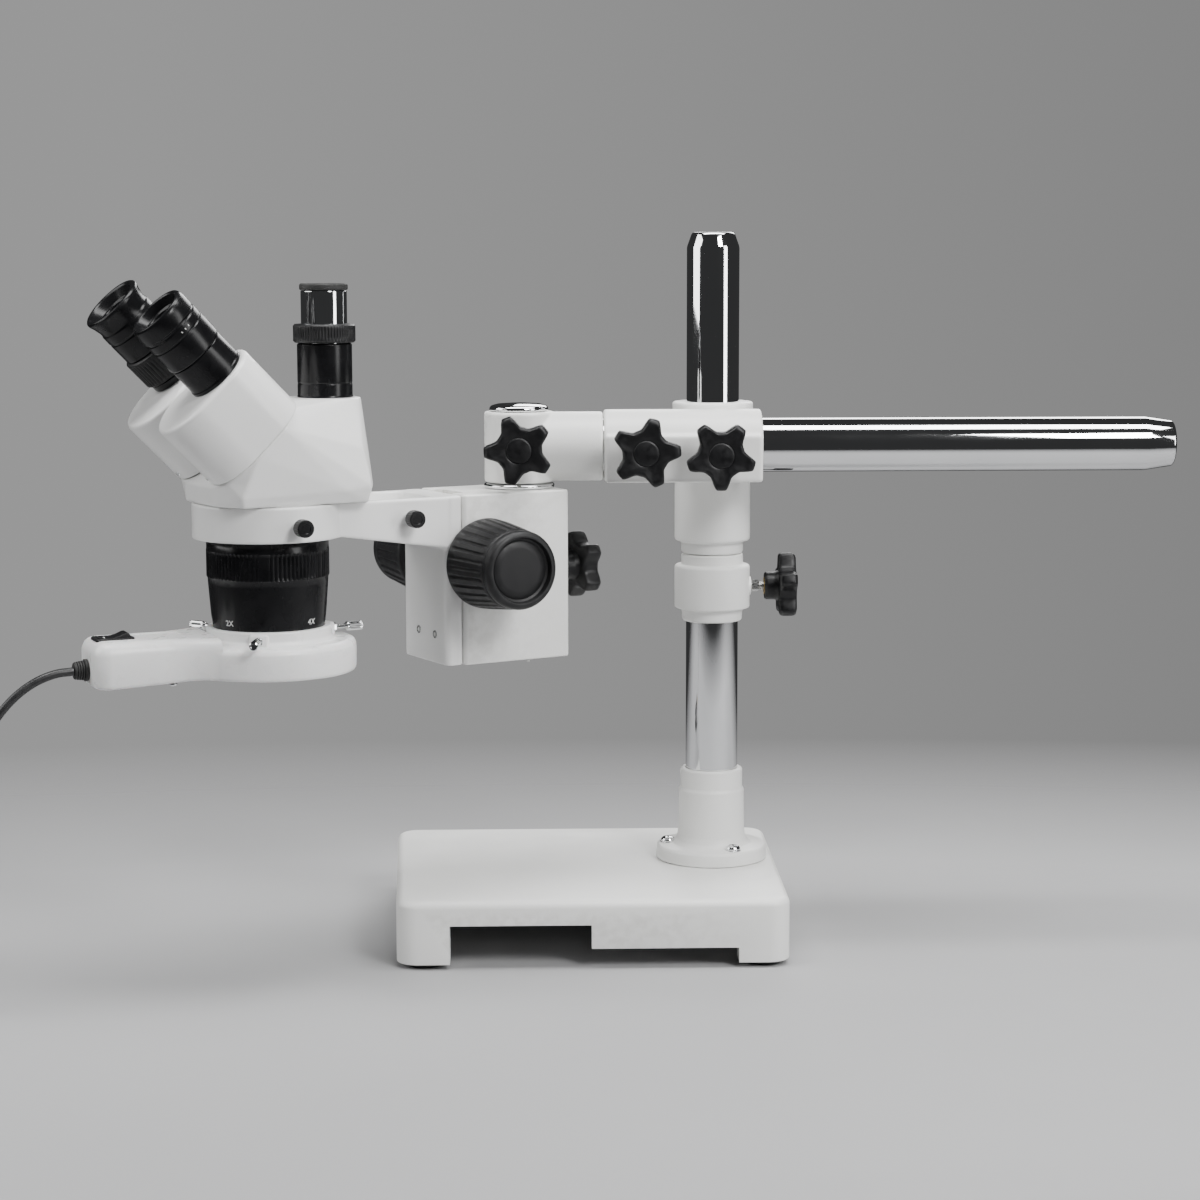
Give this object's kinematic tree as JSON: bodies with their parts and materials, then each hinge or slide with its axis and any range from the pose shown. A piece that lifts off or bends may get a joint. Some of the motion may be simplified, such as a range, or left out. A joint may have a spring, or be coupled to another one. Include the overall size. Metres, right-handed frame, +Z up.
{
  "type": "stereo microscope",
  "caption": "Trinocular stereo microscope on a boom stand: heavy cast base, chrome pillar and boom, rack focus arm, tilted eyepieces, camera port and a clamped ring light with its mains lead",
  "frame": {"origin": "centre of the footprint of the whole instrument without its mains lead, on the surface that it stands on", "axes": "+X runs along the boom towards its free end, +Y runs from the operator's side to the back, +Z is up"},
  "size_m": [0.8016, 0.2927, 0.428],
  "materials": {
    "base_paint": "white textured enamel over cast iron",
    "foot_rubber": "matt black",
    "socket_paint": "white textured enamel",
    "stand_paint": "white textured enamel over cast aluminium",
    "head_paint": "white fine textured enamel over cast aluminium",
    "chrome": "bright polished",
    "steel": "turned",
    "brass": "machined",
    "knob_plastic": "moulded black",
    "black_anodised": "satin black",
    "eyepiece_plastic": "satin black",
    "nose_plastic": "satin black",
    "light_plastic": "white moulded",
    "glass": "coated optical",
    "lamp_glass": "opal tube",
    "cord_rubber": "black sheath"
  },
  "bodies": {
    "stand": {"base_casting": "base_paint", "rubber_foot_1": "foot_rubber", "rubber_foot_2": "foot_rubber", "rubber_foot_3": "foot_rubber", "rubber_foot_4": "foot_rubber", "pillar_socket": "socket_paint", "flange_screw_1": "chrome", "flange_screw_2": "chrome", "flange_screw_3": "chrome", "pillar": "chrome"},
    "collar": {"safety_collar": "stand_paint"},
    "collar_clamp": {"collar_knob": "knob_plastic", "collar_stud": "steel"},
    "cross": {"cross_head": "stand_paint"},
    "boom_clamp_left": {"boom_knob_left": "knob_plastic"},
    "boom_clamp_right": {"boom_knob_right": "knob_plastic"},
    "boom": {"boom_arm": "chrome", "power_cord": "cord_rubber", "cord_coil": "cord_rubber", "mains_plug": "cord_rubber"},
    "bracket": {"end_bracket": "stand_paint", "bracket_cap": "chrome"},
    "bracket_clamp": {"bracket_knob": "knob_plastic"},
    "block": {"mount_pin": "chrome", "focus_block": "head_paint"},
    "block_clamp": {"block_knob": "knob_plastic"},
    "focus_drive": {"pinion_shaft": "steel", "focus_knob_near": "knob_plastic", "focus_knob_far": "knob_plastic"},
    "carriage": {"focus_carriage": "head_paint", "rack": "brass"},
    "ring_screw": {"ring_thumb_screw": "black_anodised"},
    "arm_screw": {"arm_thumb_screw": "black_anodised"},
    "head": {"head_casting": "head_paint", "trinocular_tube": "black_anodised"},
    "drum_near": {"prism_drum_near": "head_paint", "prism_near": "glass", "eye_tube_near": "black_anodised", "eyepiece_near": "eyepiece_plastic", "eye_lens_near": "glass"},
    "drum_far": {"prism_drum_far": "head_paint", "prism_far": "glass", "eye_tube_far": "black_anodised", "eyepiece_far": "eyepiece_plastic", "eye_lens_far": "glass"},
    "diopter": {"diopter_ring": "eyepiece_plastic"},
    "lock_ring": {"port_lock_ring": "eyepiece_plastic"},
    "camera_slide": {"camera_tube": "chrome", "port_dust_cap": "eyepiece_plastic"},
    "nose": {"nosepiece": "nose_plastic", "objective_lens_left": "glass", "objective_lens_right": "glass"},
    "light": {"ring_light_housing": "light_plastic", "lamp_tube": "lamp_glass", "strain_relief": "cord_rubber"},
    "rocker": {"rocker_switch": "cord_rubber"},
    "light_screw_1": {"light_thumb_screw_1": "chrome"},
    "light_screw_2": {"light_thumb_screw_2": "chrome"},
    "light_screw_3": {"light_thumb_screw_3": "chrome"}
  },
  "joints": [
    {"name": "collar_slide", "type": "slide", "parent": "stand", "child": "collar", "axis": [0, 0, 1], "range_m": [-0.09, 0.09]},
    {"name": "collar_clamp_turn", "type": "hinge", "parent": "collar", "child": "collar_clamp", "pos_m": [0.04606, 0.0614, 0.2115], "axis": [1, 0, 0], "range_deg": [0, 360]},
    {"name": "cross_swing", "type": "hinge", "parent": "collar", "child": "cross", "pos_m": [0.04606, 0.0614, 0.28], "axis": [0, 0, 1], "range_deg": [-90, 90]},
    {"name": "boom_clamp_left_turn", "type": "hinge", "parent": "cross", "child": "boom_clamp_left", "pos_m": [0.00106, -0.0186, 0.301], "axis": [0, -1, 0], "range_deg": [0, 360]},
    {"name": "boom_clamp_right_turn", "type": "hinge", "parent": "cross", "child": "boom_clamp_right", "pos_m": [0.04446, -0.0186, 0.2995], "axis": [0, -1, 0], "range_deg": [0, 360]},
    {"name": "boom_slide", "type": "slide", "parent": "cross", "child": "boom", "axis": [1, 0, 0], "range_m": [-0.16, 0]},
    {"name": "bracket_roll", "type": "hinge", "parent": "boom", "child": "bracket", "pos_m": [-0.04394, 0.0094, 0.3025], "axis": [1, 0, 0], "range_deg": [-15, 15]},
    {"name": "bracket_clamp_turn", "type": "hinge", "parent": "bracket", "child": "bracket_clamp", "pos_m": [-0.07244, -0.0186, 0.3025], "axis": [0, -1, 0], "range_deg": [0, 360]},
    {"name": "mount_swivel", "type": "hinge", "parent": "bracket", "child": "block", "pos_m": [-0.07244, 0.0094, 0.29], "axis": [0, 0, 1], "range_deg": [-45, 60]},
    {"name": "block_clamp_turn", "type": "hinge", "parent": "block", "child": "block_clamp", "pos_m": [-0.0462, 0.02394, 0.229], "axis": [0.8746, 0.4848, 0], "range_deg": [0, 360]},
    {"name": "focus_travel", "type": "slide", "parent": "block", "child": "carriage", "axis": [0, 0, 1], "range_m": [-0.025, 0.025]},
    {"name": "focus_turn", "type": "hinge", "parent": "block", "child": "focus_drive", "pos_m": [-0.10655, -0.00951, 0.238], "axis": [-0.4848, 0.8746, 0], "range_deg": [-230, 230]},
    {"name": "ring_screw_turn", "type": "hinge", "parent": "carriage", "child": "ring_screw", "pos_m": [-0.19086, -0.11112, 0.2665], "axis": [0.4848, -0.8746, 0], "range_deg": [0, 360]},
    {"name": "arm_screw_turn", "type": "hinge", "parent": "carriage", "child": "arm_screw", "pos_m": [-0.13205, -0.06252, 0.2665], "axis": [0.4848, -0.8746, 0], "range_deg": [0, 360]},
    {"name": "head_turn", "type": "hinge", "parent": "carriage", "child": "head", "pos_m": [-0.21413, -0.06914, 0.27], "axis": [0, 0, 1], "range_deg": [-45, 45]},
    {"name": "drum_far_turn", "type": "hinge", "parent": "head", "child": "drum_far", "pos_m": [-0.24667, -0.05974, 0.3061], "axis": [-0.6184, -0.3428, 0.7071], "range_deg": [-4, 24]},
    {"name": "drum_near_turn", "type": "hinge", "parent": "head", "child": "drum_near", "pos_m": [-0.2234, -0.10172, 0.3061], "axis": [-0.6184, -0.3428, 0.7071], "range_deg": [-24, 4]},
    {"name": "diopter_turn", "type": "hinge", "parent": "drum_far", "child": "diopter", "pos_m": [-0.23667, -0.04847, 0.3203], "axis": [-0.6184, -0.3428, 0.7071], "range_deg": [-90, 90]},
    {"name": "lock_ring_turn", "type": "hinge", "parent": "head", "child": "lock_ring", "pos_m": [-0.18177, -0.0512, 0.371], "axis": [0, 0, 1], "range_deg": [-90, 90]},
    {"name": "camera_tube_slide", "type": "slide", "parent": "head", "child": "camera_slide", "axis": [0, 0, 1], "range_m": [0, 0.02]},
    {"name": "nose_turn", "type": "hinge", "parent": "head", "child": "nose", "pos_m": [-0.21413, -0.06914, 0.24], "axis": [0, 0, 1], "range_deg": [0, 90]},
    {"name": "light_turn", "type": "hinge", "parent": "nose", "child": "light", "pos_m": [-0.21413, -0.06914, 0.2], "axis": [0, 0, 1], "range_deg": [-90, 0]},
    {"name": "rocker_tilt", "type": "hinge", "parent": "light", "child": "rocker", "pos_m": [-0.29682, -0.10339, 0.204], "axis": [-0.3827, 0.9239, 0], "range_deg": [0, 8]},
    {"name": "light_screw_1_turn", "type": "hinge", "parent": "light", "child": "light_screw_1", "pos_m": [-0.21664, -0.11707, 0.2033], "axis": [-0.0523, -0.9986, 0], "range_deg": [0, 360]},
    {"name": "light_screw_2_turn", "type": "hinge", "parent": "light", "child": "light_screw_2", "pos_m": [-0.17136, -0.04735, 0.2033], "axis": [0.891, 0.454, 0], "range_deg": [0, 360]},
    {"name": "light_screw_3_turn", "type": "hinge", "parent": "light", "child": "light_screw_3", "pos_m": [-0.25439, -0.043, 0.2033], "axis": [-0.8387, 0.5446, 0], "range_deg": [0, 360]}
  ],
  "couplings": [
    {"joint": "focus_turn", "follows": "focus_travel", "rad_per_m": 158.73},
    {"joint": "drum_near_turn", "follows": "drum_far_turn", "ratio": -1}
  ]
}
